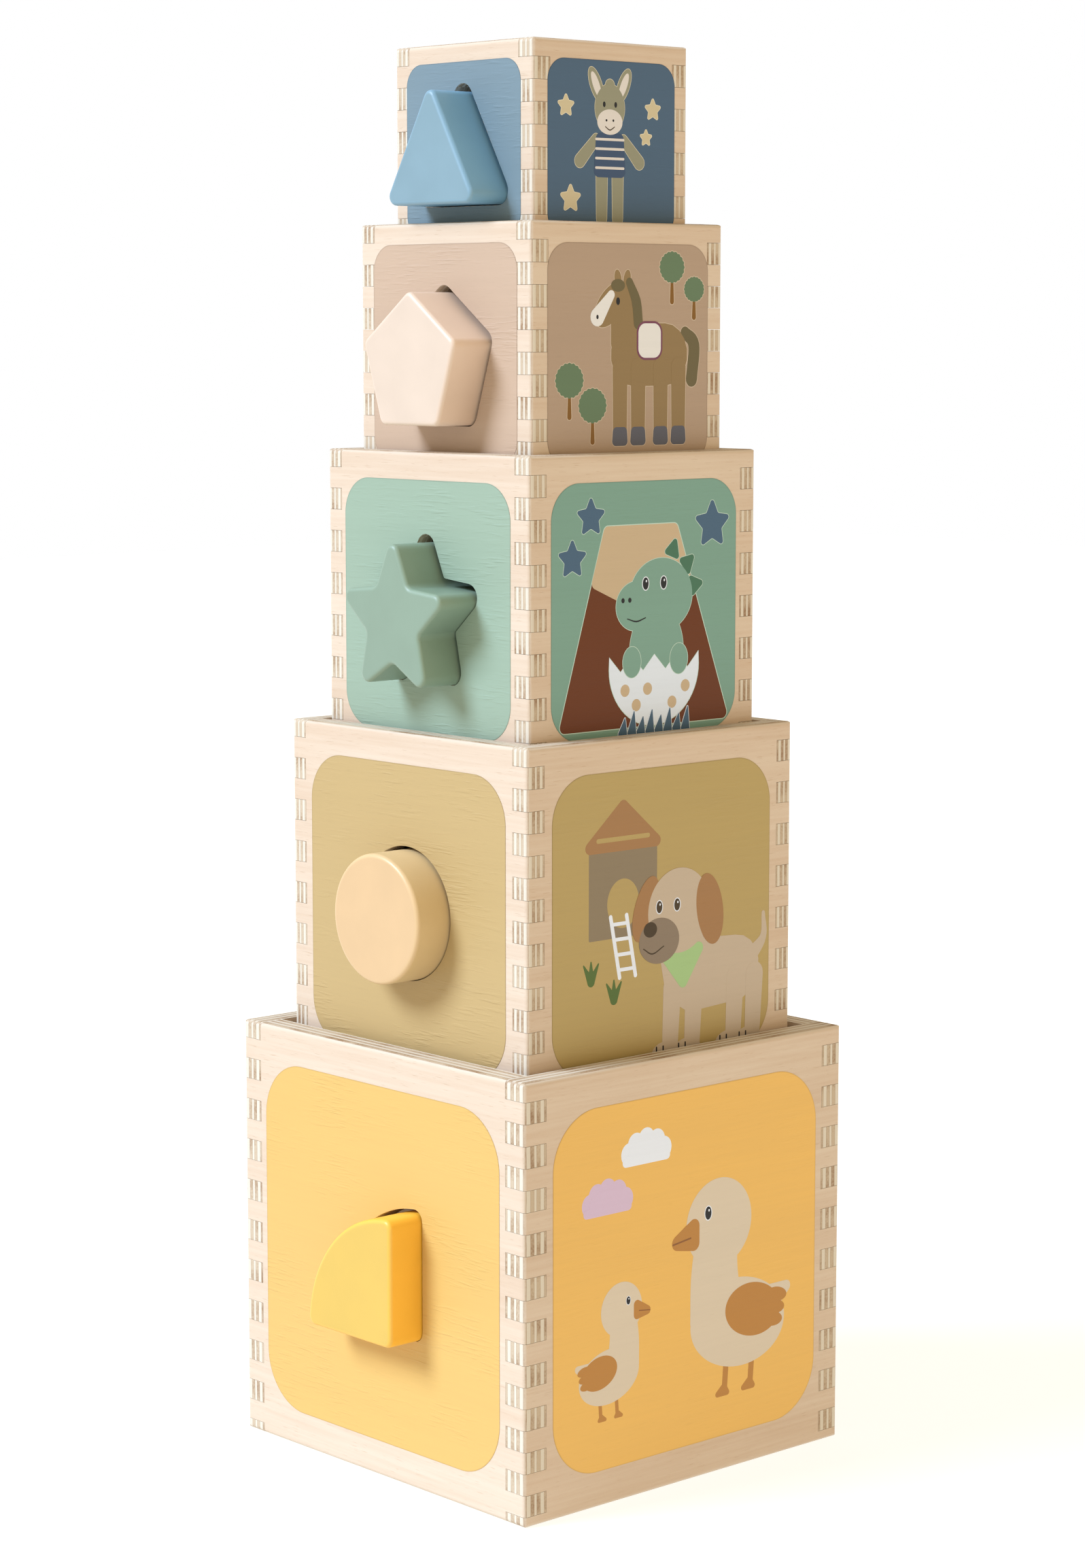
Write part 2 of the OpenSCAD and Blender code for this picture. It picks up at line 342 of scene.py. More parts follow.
def quarter_outline():
    """A quarter circle, square corner at the lower right, centred on its own width and height.

    Its two sharp tips and its square corner are arcs of the corner radius, which touch the big arc from
    inside.
    """
    apex = np.array([QUARTER_R, -QUARTER_R]) / 2
    inner = QUARTER_R - CORNER_R
    reach = np.sqrt(inner**2 - CORNER_R**2)
    blend = np.degrees(np.arcsin(CORNER_R / inner))
    arcs = (
        (apex + [-CORNER_R, reach], CORNER_R, 0, 90 + blend, 8),
        (apex, QUARTER_R, 90 + blend, 180 - blend, 40),
        (apex + [-reach, CORNER_R], CORNER_R, 180 - blend, 270, 8),
        (apex + [-CORNER_R, CORNER_R], CORNER_R, 270, 360, 8),
    )
    normals = [turn(np.linspace(start, end, count + 1)) for _, _, start, end, count in arcs]
    normals[1] = normals[1][1:-1]
    points = [centre + radius * normal for (centre, radius, *_), normal in zip(arcs, normals)]
    straight = np.linspace(0, 1, 12)[1:-1, None]
    foot = points[2][-1] + (points[3][0] - points[2][-1]) * straight
    upright = points[3][-1] + (points[0][0] - points[3][-1]) * straight
    outline = np.concatenate([points[0], points[1], points[2], foot, points[3], upright])
    down = np.broadcast_to([0.0, -1.0], foot.shape)
    right = np.broadcast_to([1.0, 0.0], upright.shape)
    return outline, np.concatenate([normals[0], normals[1], normals[2], down, normals[3], right])


def block_outline(k):
    """Outline of cube k's block from the front, in metres about the hole's middle, and its normals."""
    if k == 1:
        outline, normals = quarter_outline()
    elif k == 2:
        normals = turn(np.linspace(0, 360, 96, endpoint=False))
        outline = ROUND_R * normals
    else:
        radii = {3: (STAR_R, STAR_INNER_R), 4: (PENTAGON_R,), 5: (TRIANGLE_R,)}[k]
        count = {3: 10, 4: 5, 5: 3}[k]
        spokes = turn(90 + np.arange(count) * 360 / count)
        outline, normals = softened(spokes * np.resize(radii, count)[:, None], CORNER_R)
    return outline * MM, normals


def on_wall(k, side, points, height):
    """Places flat points (right, up) of a wall at a height above its outer face."""
    middle, half, _ = cube(k)
    right = np.array([*SIDES[side], 0])
    out = np.array([right[1], -right[0], 0])
    lift = np.broadcast_to(height, points.shape[:-1])[..., None] + half
    return middle + points[..., :1] * right + points[..., 1:] * np.array([0, 0, 1]) + lift * out


def closed(rings, capped=True):
    """Points and faces of a closed solid made of rings of points, each a loop that is anticlockwise as
    seen from before the first.

    Square faces join each ring to the next. The first and last ring are each capped by one flat face,
    or, in a solid that has a hole through it, joined to each other.
    """
    index = np.arange(rings.shape[0] * rings.shape[1]).reshape(rings.shape[:2])
    here, there = (index[:-1], index[1:]) if capped else (index, np.roll(index, -1, 0))
    corners = [here, there, np.roll(there, -1, 1), np.roll(here, -1, 1)]
    faces = np.stack(corners, 2).reshape(-1, 4).tolist()
    if capped:
        faces += [index[0].tolist(), index[-1, ::-1].tolist()]
    return rings.reshape(-1, 3), faces


def piece(name, points, faces, material, body):
    """Makes a mesh object with the material as its finish, and sets it to ride on a body."""
    mesh = bpy.data.meshes.new(name)
    mesh.from_pydata(points.tolist(), [], faces)
    mesh.materials.append(material)
    made = bpy.data.objects.new(name, mesh)
    bpy.context.scene.collection.objects.link(made)
    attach(made, body)
    return made


def shade(colour, share):
    """The colour at a share of its brightness."""
    return (*(min(1.0, share * value) for value in colour[:3]), 1.0)


def wrinkles(tree, place, run):
    """Short ripples along axis run, where paint has sunk into the grain: noise between two levels."""
    where = span(tree, noise(tree, place, along(run, 40, 70), 2.0), 0.42, 0.62)
    ripple = span(tree, noise(tree, place, along(run, 110, 1100), 1.0), 0.5, 0.68)
    return calc(tree, "MULTIPLY", ripple, where)


def field_paint(name, colour, run, sunk):
    """Thin matt paint on birch with its fibres along axis run.

    The grain shows through as faint waves and as ripples of a given strength, and the paint is darker
    where the ridge attribute is 1, along the stencil's edge.
    """
    material, tree, shader = new_finish(name, 0.5, 0.3)
    place = tree.nodes.new("ShaderNodeTexCoord").outputs["Object"]
    figure, pores = grain(tree, place, run)
    ripples = wrinkles(tree, place, run)
    ridge = add(tree, "Attribute", attribute_name="ridge").node.outputs["Fac"]
    coat = mix(tree, figure, shade(colour, 0.975), shade(colour, 1.02))
    coat = mix(tree, calc(tree, "MULTIPLY", pores, 0.35), coat, shade(colour, 0.85))
    coat = mix(tree, calc(tree, "MULTIPLY", ridge, 0.85), coat, shade(colour, 0.72))
    tree.links.new(coat, shader.inputs["Base Color"])
    tree.links.new(span(tree, figure, 0.0, 1.0, 0.44, 0.54), shader.inputs["Roughness"])
    dents = calc(tree, "MULTIPLY", ripples, sunk)
    height = calc(tree, "ADD", dents, calc(tree, "MULTIPLY", figure, 0.12))
    relief(tree, shader, height, 0.12 * MM, 0.8)
    return material


def field(k, side, material):
    """The paint as a closed plate: rings of points on rays from the middle, each from the hole, or from
    just inside the stencil's edge where there is no hole, to a rounded square.

    A ray meets an outline at the distance found by interpolating the outline's distances over its
    angles.
    The outermost ring has a ridge attribute of 1, on top and at its root, and the others 0.
    """
    half, corner = FIELD_HALF[k - 1] * MM, FIELD_CORNER[k - 1] * MM
    rays = np.linspace(-180, 180, 720, endpoint=False)

    def reach(outline):
        angle = np.degrees(np.arctan2(outline[:, 1], outline[:, 0]))
        order = np.argsort(angle)
        return np.interp(rays, angle[order], np.hypot(*outline.T)[order], period=360)[:, None]

    square = [(-half, -half), (half, -half), (half, half), (-half, half)]
    outer = reach(softened(square, corner, arc_steps=60, side_steps=400)[0])
    tops = [outer - RIDGE, outer]
    if side == "front":
        hole, hole_normals = block_outline(k)
        inner = reach(hole + hole_normals * PLAY[k - 1] * MM + [0, HOLE_RISE[k - 1] * MM])
        tops = [inner, (inner + outer) / 2] + tops
    roots = [outer, inner] if side == "front" else [outer]
    flat = np.array([turn(rays) * distance for distance in tops + roots])
    heights = np.array([PAINT_DEPTH] * len(tops) + [-PAINT_ROOT] * len(roots))[:, None]
    points, faces = closed(on_wall(k, side, flat, heights), capped=side != "front")
    name = FIELD_NAMES[k - 1]
    made = piece(f"{name}_field_{side}", points, faces, material, f"cube_{k}")
    ridge = np.zeros((len(flat), len(rays)))
    ridge[len(tops) - 1 : len(tops) + 1] = 1
    made.data.attributes.new("ridge", "FLOAT", "POINT").data.foreach_set("value", ridge.ravel())


for k in CUBES:
    name = FIELD_NAMES[k - 1]
    field(k, "front", field_paint(f"{name} field paint, front", FRONT_PAINT[k - 1], 0, 1.0))
    # The picture, back and left walls take the paint matched to the shaded picture walls, painted light
    # and shade included
    for side, run in (("picture", 1), ("back", 0), ("left", 1)):
        field(k, side, field_paint(f"{name} field print, {side}", SHADED_SIDE_PAINT[k - 1], run, 0.25))

# ---- Printed pictures: how they are laid down ----------------------------------------------------
# Animals and scenery are printed over the paint in flat opaque inks, one colour after another. Some
# shapes have a thin outline, which is a slightly larger copy in another ink, printed first. Drawings
# are in millimetres about the middle of the wall, to the right and up.
INK_DEPTH = 0.003 * MM


def egg(u, v, wide, tall, tilt=0):
    """An oval about (u, v) with half-axes wide and tall, turned by tilt degrees."""
    x, y = turn(np.linspace(0, 360, 64, endpoint=False)).T
    x, y = wide * x, tall * y
    c, s = turn(tilt)
    return np.stack([u + c * x - s * y, v + s * x + c * y], 1)


def star(u, v, radius):
    """A plump five-pointed star with softened tips."""
    spokes = turn(90 + np.arange(10) * 36) * np.resize([radius, 0.5 * radius], 10)[:, None]
    return softened(spokes + [u, v], 0.1 * radius, arc_steps=5, side_steps=4)[0]


def area(colour, outline):
    """A filled shape, its outline turned round if the sign of its area says that it runs clockwise."""
    points = np.array(outline, float)
    after = np.roll(points, -1, 0)
    if (points[:, 0] * after[:, 1] - points[:, 1] * after[:, 0]).sum() < 0:
        points = points[::-1]
    return {"colour": colour, "outline": points}


def line(colour, points, *widths):
    """A drawn line through the points, with its widths spread evenly along it and round ends."""
    return {"colour": colour, "points": np.array(points, float), "widths": np.array(widths, float)}


def outlined(colour, shapes, width):
    """The shapes over copies of themselves in one colour, grown by a width along their normals."""
    under = []
    for shape in shapes:
        copy = dict(shape, colour=colour)
        if "outline" in shape:
            step = np.roll(shape["outline"], -1, 0) - np.roll(shape["outline"], 1, 0)
            step /= np.linalg.norm(step, axis=1)[:, None]
            copy["outline"] = shape["outline"] + width * np.stack([step[:, 1], -step[:, 0]], 1)
        else:
            copy["widths"] = shape["widths"] + 2 * width
        under.append(copy)
    return under + shapes


def filled(shape):
    """Rings of a filled shape: its rim on top of the ink, and below at the root.

    The last value of a point is 1 on top of the ink and 0 at its root.
    """
    rim = shape["outline"]
    return np.array([np.column_stack([rim, np.full(len(rim), top)]) for top in (1.0, 0.0)])


def drawn(shape, between=6, cap_steps=4):
    """Rings of a line: a flat four-cornered section carried along a curve through its points.

    The curve is the open Catmull-Rom cubic. At both ends, for a up to 80 degrees, the section goes on by
    r sin(a) and narrows to r cos(a), which makes nearly a half circle of radius r.
    """
    points = shape["points"]
    around = np.concatenate([2 * points[:1] - points[1:2], points, 2 * points[-1:] - points[-2:-1]])
    stretches = (around[:-3], around[1:-2], around[2:-1], around[3:])
    before, here, after, beyond = (stretch[:, None] for stretch in stretches)
    t = np.arange(between)[None, :, None] / between
    bend = 2 * before - 5 * here + 4 * after - beyond
    twist = 3 * here - before - 3 * after + beyond
    path = (here + ((after - before) * t + bend * t**2 + twist * t**3) / 2).reshape(-1, 2)
    path = np.concatenate([path, points[-1:]])
    along = np.gradient(path, axis=0)
    along /= np.linalg.norm(along, axis=1)[:, None]
    share = np.linspace(0, 1, len(path))
    radius = np.interp(share, np.linspace(0, 1, len(shape["widths"])), shape["widths"])[:, None] / 2
    cosine, sine = turn(np.linspace(0, 80, cap_steps + 1)[1:]).T[..., None]
    head = path[:1] - along[:1] * radius[:1] * sine[::-1]
    tail = path[-1:] + along[-1:] * radius[-1:] * sine
    middle = np.concatenate([head, path, tail])
    first, last = np.repeat(along[:1], cap_steps, 0), np.repeat(along[-1:], cap_steps, 0)
    heading = np.concatenate([first, along, last])
    half = np.concatenate([radius[:1] * cosine[::-1], radius, radius[-1:] * cosine])
    left = half * np.stack([-heading[:, 1], heading[:, 0]], 1)
    corners = np.stack([middle - left, middle - left, middle + left, middle + left], 1)
    top = np.broadcast_to(np.array([0, 1, 1, 0])[None, :, None], corners.shape[:2] + (1,))
    return np.concatenate([corners, top], 2)


def ink_finish():
    """Matt opaque ink in the colours of the ink attribute, slightly uneven over the faint grain."""
    material, tree, shader = new_finish("picture ink", 0.5, 0.3)
    place = tree.nodes.new("ShaderNodeTexCoord").outputs["Object"]
    figure, pores = grain(tree, place, 1)
    colour = add(tree, "Attribute", attribute_name="ink").node.outputs["Color"]
    uneven = mix(tree, figure, (0.96, 0.96, 0.96, 1), (1.0, 1.0, 1.0, 1))
    tree.links.new(mix(tree, 1.0, colour, uneven, "MULTIPLY"), shader.inputs["Base Color"])
    tree.links.new(span(tree, figure, 0.0, 1.0, 0.44, 0.52), shader.inputs["Roughness"])
    height = calc(tree, "SUBTRACT", calc(tree, "MULTIPLY", figure, 0.3), pores)
    relief(tree, shader, height, 0.04 * MM, 0.6)
    return material


ink = ink_finish()


def picture(name, k, side, shapes, below=0):
    """Prints the shapes on a wall as one piece, each a thin closed plate just above the one before it,
    and above so many layers of an earlier picture."""
    all_points, all_faces, all_colours, count = [], [], [], 0
    for layer, shape in enumerate(shapes, below + 1):
        rings = filled(shape) if "outline" in shape else drawn(shape)
        heights = (PAINT_DEPTH + layer * INK_DEPTH + PAINT_ROOT) * rings[..., 2] - PAINT_ROOT
        points, faces = closed(on_wall(k, side, rings[..., :2] * MM, heights))
        all_points.append(points)
        all_faces += [[count + corner for corner in face] for face in faces]
        all_colours.append(np.tile(shape["colour"], (len(points), 1)))
        count += len(points)
    made = piece(name, np.concatenate(all_points), all_faces, ink, f"cube_{k}")
    attribute = made.data.attributes.new("ink", "FLOAT_COLOR", "POINT")
    attribute.data.foreach_set("color", np.concatenate(all_colours).ravel())


def hidden_picture(name, k, shapes):
    """Prints the same shapes on both of a cube's hidden walls."""
    for side in ("back", "left"):
        picture(f"{name}_{side}", k, side, shapes)


# ---- Cube 1's pictures: ducks under two clouds ---------------------------------------------------
# A plain duck and duckling in cream and caramel inks on the yellow field, seen from the side and
# facing each other, under a white and a lilac cloud. The hidden walls have clouds alone.
CREAM = tone(209, 196, 176)
CARAMEL = tone(180, 128, 62)
CARAMEL_LINE = tone(136, 90, 47)
BLACK = tone(30, 32, 36)
WHITE = tone(224, 232, 246)
LILAC = tone(205, 183, 210)


def eye(u, v, size, colour=BLACK, ring=WHITE):
    """An upright oval eye in a thin ring, with a glint."""
    glint = area(WHITE, egg(u + 0.15 * size, v + 0.4 * size, 0.15 * size, 0.2 * size))
    return outlined(ring, [area(colour, egg(u, v, 0.65 * size, size))], 0.15 * size) + [glint]


def duck(u, v, scale, look):
    """A duck from the side, its bill to the left (look = -1) or to the right (1).

    Its head, body and wing are ovals, its neck and legs lines, and its tail, feet and bill rounded
    triangles.
    """
    def at(points):
        return np.array(points, float) * [-look * scale, scale] + [u, v]

    def oval(colour, *row):
        return area(colour, at(egg(*row)))

    legs = []
    for foot in (-4, 8):
        legs.append(line(CARAMEL, at([(foot + 1, -8), (foot, -21)]), 2.5 * scale, 2.5 * scale))
        legs.append(area(CARAMEL, at(softened([(foot - 6, -24), (foot + 3, -24), (foot, -19)], 1.0)[0])))
    tail = area(CREAM, at(softened([(12, -6), (30, 10), (12, 10)], 2.0)[0]))
    neck = line(CREAM, at([(-8, 4), (-9, 18), (-8, 32)]), 24 * scale, 19 * scale)
    trunk = [oval(CREAM, 2, 0, 22, 15, -8), neck]
    tips = [oval(CARAMEL, 20 - step, 6 - 4 * step, 5, 2.5, -10) for step in range(3)]
    wing = tips + [oval(CARAMEL, 9, 3, 13, 9, -12)]
    bill = area(CARAMEL, at(softened([(-16, 40), (-33, 30), (-16, 27)], 2.5)[0]))
    mouth = line(CARAMEL_LINE, at([(-28, 31), (-20, 32)]), 0.6 * scale, 0.6 * scale)
    head = [oval(CREAM, -7, 35, 15, 15), bill, mouth]
    return legs + [tail] + trunk + wing + head + eye(*at([-12, 39]), 2.2 * scale)


def cloud(colour, u, v, scale):
    """A cloud of five round puffs along a low arch, on a level foot."""
    puffs = turn(np.linspace(160, 20, 5)) * [8 * scale, 6 * scale] + [u, v + 2 * scale]
    ends = np.array([(-9, 1.5), (9, 1.5)]) * scale + [u, v]
    foot = line(colour, ends, 3 * scale, 3 * scale)
    return [area(colour, egg(*puff, 3.6 * scale, 3.8 * scale)) for puff in puffs] + [
        area(colour, egg(u, v + 4 * scale, 8 * scale, 4 * scale)), foot]


picture("duck", 1, "picture", duck(21, -22, 1.0, -1))
picture("duckling", 1, "picture", duck(-34, -29, 0.6, 1))
picture("white_cloud", 1, "picture", cloud(WHITE, -19, 38, 1.0))
picture("lilac_cloud", 1, "picture", cloud(LILAC, -36, 24, 1.0))
hidden_picture("clouds", 1, cloud(WHITE, -20, 12, 1.5) + cloud(LILAC, 20, -16, 1.5))

# ---- Cube 2's pictures: a dog and its kennel -----------------------------------------------------
# A plain puppy with a green neckerchief beside a kennel, with a white ladder and tufts of grass, on
# the olive field. The hidden walls have tufts of grass alone.
DOG = tone(189, 173, 153)
DOG_EAR = tone(158, 118, 76)
MUZZLE = tone(134, 119, 102)
KENNEL = tone(135, 121, 98)
ROOF = tone(158, 119, 78)
GRASS = tone(81, 106, 50)
UMBER = tone(67, 53, 32)
SCARF = tone(159, 193, 135)
# Layers of ink to leave below the dog, which clears the ten of the kennel and the ladder
DOG_BELOW = 12


def tuft(u, v, size):
    """Three straight blades of grass that fan out from one root."""
    tips = turn([120, 90, 60]) * size * 1.6
    return [line(GRASS, [(u, v), tip + [u, v]], 0.8 * size, 0.15 * size) for tip in tips]


def ladder(top, foot, width, rungs):
    """Two rails and the rungs between them."""
    top, foot, across = np.array(top), np.array(foot), np.array([width / 2, 0])
    rails = [line(WHITE, [top + side * across, foot + side * across], 1.5, 1.5) for side in (-1, 1)]
    levels = [top + (foot - top) * share for share in (np.arange(rungs) + 0.5) / rungs]
    return rails + [line(WHITE, [level - across, level + across], 1.2, 1.2) for level in levels]


kennel = [
    area(KENNEL, softened([(-33, -5), (-3, -5), (-3, 24), (-33, 24)], 0.5)[0]),
    area(SHADED_SIDE_PAINT[1], egg(-18, 6, 7, 8)),
    area(ROOF, softened([(-38, 23), (2, 23), (-18, 40)], 2.0)[0]),
    line(SHADED_SIDE_PAINT[1], [(-29, 27), (-7, 27)], 1.5, 1.5),
]
picture("kennel", 2, "picture", kennel)
picture("ladder", 2, "picture", ladder((-20, 2), (-16, -18), 7, 4), below=len(kennel))
picture("grass", 2, "picture", tuft(-32, -18, 4) + tuft(-22, -25, 4))
hidden_picture("grass", 2, tuft(-18, 8, 6) + tuft(12, 14, 5) + tuft(-4, -14, 7) + tuft(22, -18, 6))


def dog():
    """A puppy on four straight legs, its body a thick line and its head a few ovals."""
    tail = [line(DOG, [(40, -18), (46, -12), (46, -4)], 6, 3, 1.5)]
    coat = [line(DOG, [(14, -21), (33, -21)], 24, 22), line(DOG, [(7, -6), (11, -20)], 20, 22)]
    paws = []
    for u in (3, 13, 32, 41):
        coat.append(line(DOG, [(u + 1, -24), (u, -45)], 8, 7))
        coat.append(area(DOG, egg(u - 2, -45, 6, 3.5)))
        paws += [line(BLACK, [(u - step, -43), (u - step, -47)], 0.6, 0.6) for step in (3, 6)]
    neckerchief = [area(SCARF, softened([(-3, -12), (20, -10), (9, -26)], 2.0)[0])]
    head = [area(DOG_EAR, egg(-8, 3, 5, 11, -20)), area(DOG, egg(7, 1, 14, 14))]
    head += [area(DOG_EAR, egg(21, 0, 6, 12, 10))]
    face = [area(MUZZLE, egg(-2, -8, 9, 7.5)), area(UMBER, egg(-6, -4, 3, 2.5))]
    face += [line(UMBER, [(-9, -10), (-5, -12), (0, -10)], 0.4, 0.5, 0.4)]
    return tail + coat + paws + neckerchief + head + face + eye(-2, 3, 2, UMBER) + eye(6, 3, 2, UMBER)


picture("dog", 2, "picture", dog(), below=DOG_BELOW)

# ---- Cube 3's pictures: a dinosaur in its egg ----------------------------------------------------
# A plain green dinosaur in the lower half of an eggshell, in front of a brown volcano with an ash
# cone, with slate stars and slate grass, on the green field. The hidden walls have stars alone.
LAVA_ROCK = tone(100, 48, 6)
ASH = tone(193, 172, 141)
SLATE = tone(68, 97, 124)
DINO = tone(120, 158, 145)
DINO_DARK = tone(67, 112, 89)
SHELL = tone(217, 228, 243)
PALE_GREEN = tone(184, 209, 198)


def stars(colour, edge, *rows):
    """Stars with a thin outline in an edge colour, from a row of (u, v, radius) for each."""
    return outlined(edge, [area(colour, star(*row)) for row in rows], 0.2)


cone = softened([(-38, -38), (38, -38), (14, 27), (-18, 27)], 2.0)[0]
volcano = outlined(PALE_GREEN, [area(LAVA_ROCK, cone)], 0.3)
volcano += [area(ASH, softened([(-24, 8), (-10, 2), (4, 8), (21, 8), (14, 27), (-18, 27)], 2.0)[0])]
picture("volcano", 3, "picture", volcano)
slate_stars = stars(SLATE, PALE_GREEN, (-24, 30, 7), (-32, 17, 7), (30, 26, 9))
picture("slate_stars", 3, "picture", slate_stars)
hidden_picture("slate_stars", 3, stars(SLATE, PALE_GREEN, (-18, 16, 9), (16, 4, 12), (-10, -20, 7)))


def dinosaur():
    """A dinosaur of ovals in half an eggshell, whose rim is an even zigzag and its bowl half an oval."""
    spikes = []
    for angle in (70, 40, 10):
        foot, side = turn(angle) * 13 + [7, 4], turn(angle + 90) * 4
        spike = [foot - side, foot + turn(angle) * 7, foot + side]
        spikes.append(area(DINO_DARK, softened(spike, 1.0)[0]))
    trunk = [area(DINO, egg(*row)) for row in ((5, -14, 12, 15), (7, 4, 14, 12), (-4, 1, 9, 8))]
    zigzag = np.stack([np.linspace(-16, 24, 9), np.resize([-15, -20], 9)], 1)
    bowl = turn(np.linspace(0, -180, 30)) * [20, 19] + [4, -19]
    shell = outlined(PALE_GREEN, [area(SHELL, np.concatenate([zigzag, bowl]))], 0.2)
    spot_places = ((-9, -26), (-4, -31), (1, -26), (12, -31), (18, -26))
    spots = [area(ASH, egg(*place, 2, 2)) for place in spot_places]
    hands = [area(DINO, egg(u, -17, 4, 5)) for u in (-6, 15)]
    face = eye(0, 8, 2) + eye(8, 8, 2) + [area(BLACK, egg(u, 3, 0.7, 0.8)) for u in (-10, -7)]
    face += [line(BLACK, [(-8, -3), (-4, -4), (0, -3)], 0.3, 0.5, 0.3)]
    body = outlined(PALE_GREEN, spikes + trunk, 0.2) + shell + spots
    return body + outlined(PALE_GREEN, hands, 0.2) + face


def blades(u_from, u_to, foot, heights):
    """A row of upright pointed leaves at even steps."""
    leaves = []
    for u, height in zip(np.linspace(u_from, u_to, len(heights)), heights):
        leaves.append(line(SLATE, [(u, foot), (u + 1, foot + height)], 4, 0.4))
    return outlined(SHELL, leaves[::2], 0.2) + outlined(SHELL, leaves[1::2], 0.2)


hatchling = dinosaur()
picture("dinosaur", 3, "picture", hatchling, below=len(volcano))
slate_grass = blades(-10, 18, -40, (5, 7) * 4)
picture("slate_grass", 3, "picture", slate_grass, below=len(volcano) + len(hatchling))

# ---- Cube 4's pictures: a horse among trees ------------------------------------------------------
# A plain brown horse with a pale blaze and a plum-edged saddle cloth, and four round trees, on the
# mauve field. The hidden walls have trees alone.
HORSE = tone(140, 117, 80)
MANE = tone(103, 94, 65)
HOOF = tone(88, 90, 102)
BLAZE = tone(222, 222, 222)
LEAVES = tone(96, 120, 92)
BARK = tone(125, 87, 32)
PLUM = tone(116, 66, 89)
PALE_MAUVE = tone(195, 178, 158)


def tree_print(u, v, wide, tall, trunk):
    """A trunk under an oval crown whose radius swings by 3% in twenty waves."""
    angle = np.linspace(0, 360, 144, endpoint=False)
    wave = 1 + 0.03 * np.cos(np.radians(angle * 20))
    crown = turn(angle) * wave[:, None] * [wide, tall] + [u, v]
    bark = line(BARK, [(u, v - tall + 1), (u, v - tall - trunk)], 1.2, 1.8)
    return outlined(PALE_MAUVE, [bark, area(LEAVES, crown)], 0.25)


def trees(*rows):
    """The shapes of several trees, from a row of tree_print's values for each."""
    return [shape for row in rows for shape in tree_print(*row)]


high_trees = trees((19, 28, 5.5, 5, 6), (29, 21, 4.5, 4, 5))
low_trees = trees((-26, -8, 6, 5.5, 6), (-16, -16, 6, 5.5, 6))
picture("trees", 4, "picture", high_trees + low_trees)
hidden_trees = trees((-14, 8, 9, 8, 9), (4, 13, 7, 6, 7), (18, 2, 9, 8, 9), (-2, -12, 8, 7, 8))
hidden_picture("trees", 4, hidden_trees)


def horse():
    """A horse from the side: thick lines for its body and neck, an oval head and four straight legs."""
    tail = [line(MANE, [(25, 7), (29, 3), (28, -8)], 4, 5, 5)]
    coat = [line(HORSE, [(2, 0), (16, 0)], 20, 20), line(HORSE, [(-2, 4), (-3, 17)], 12, 10)]
    coat += [area(HORSE, egg(-8, 16, 5, 9, -45))]
    coat += [area(HORSE, egg(-5, 24, 1.5, 3, 10)), area(HORSE, egg(-1, 24, 1.5, 3, -10))]
    for u in (-4, 4, 14, 22):
        coat.append(line(HORSE, [(u, -4), (u, -24)], 6.5, 6))
        hoof = [(u - 3.5, -29), (u + 3.5, -29), (u + 3, -23), (u - 3, -23)]
        coat.append(area(HOOF, softened(hoof, 1.5)[0]))
    mane = [line(MANE, [(0, 23), (3, 17), (4, 10)], 3, 4, 4), area(MANE, egg(-5, 22, 3, 2))]
    cloth = outlined(PLUM, [area(BLAZE, softened([(4, -1), (14, -1), (14, 10), (4, 10)], 3.0)[0])], 0.7)
    face = [line(BLAZE, [(-8, 19), (-14, 12)], 3, 6)]
    face += [area(BLACK, egg(-5, 17, 0.8, 1.2)), area(BLACK, egg(-14, 12, 0.5, 0.7))]
    return outlined(PALE_MAUVE, tail + coat, 0.25) + mane + cloth + face


picture("horse", 4, "picture", horse())

# ---- Cube 5's pictures: a donkey under the stars -------------------------------------------------
# A plain grey-brown donkey in a striped shirt, the same on both sides of its middle, and four
# sand-coloured stars, on the blue field. The hidden walls have stars alone.
DONKEY = tone(143, 143, 122)
PALE_MUZZLE = tone(215, 210, 206)
SAND = tone(199, 187, 155)
SHIRT = tone(58, 80, 112)
PALE_SAND = tone(222, 214, 188)

sand_stars = stars(SAND, PALE_SAND, (-20, 13, 4), (18, 13, 4), (15, 4, 3), (-18, -16, 5))
picture("sand_stars", 5, "picture", sand_stars)
hidden_picture("sand_stars", 5, stars(SAND, PALE_SAND, (-11, 10, 6), (12, 3, 8), (-5, -13, 5)))


def donkey():
    """A donkey facing the viewer, its ears, arms and legs ovals and lines repeated on the other side."""
    limbs, linings, face = [], [], []
    places = ((6, 20), (6, 3), (13, -4), (3.5, -8), (3.5, -22), (2.5, 14), (1.5, 9))
    for side in (-1, 1):
        ear, shoulder, hand, hip, foot, pupil, nostril = ((side * u - 1, v) for u, v in places)
        limbs.append(area(DONKEY, egg(*ear, 2.5, 6, -side * 25)))
        linings.append(area(PALE_MUZZLE, egg(*ear, 1.4, 4.5, -side * 25)))
        limbs.append(line(DONKEY, [shoulder, hand], 3.5, 4.5))
        limbs.append(line(DONKEY, [hip, foot], 5, 4.5))
        face += [area(BLACK, egg(*pupil, 0.6, 0.9)), area(BLACK, egg(*nostril, 0.4, 0.4))]
    head = [area(DONKEY, egg(-1, 13, 6.5, 7.5)), area(DONKEY, egg(-1, 20, 2, 2))]
    shirt = [area(SHIRT, softened([(-8, -9), (6, -9), (5, 5), (-7, 5)], 2.0)[0])]
    stripes = [line(PALE_MUZZLE, [(-7, v), (5, v)], 0.8, 0.8) for v in (-6, -3, 0, 3)]
    face += [line(UMBER, [(-3, 7), (-1, 6), (1, 7)], 0.3, 0.4, 0.3)]
    body = outlined(PALE_SAND, limbs + head, 0.15) + shirt + stripes
    return body + linings + [head[0], area(PALE_MUZZLE, egg(-1, 8.5, 5.5, 4))] + face


picture("donkey", 5, "picture", donkey())

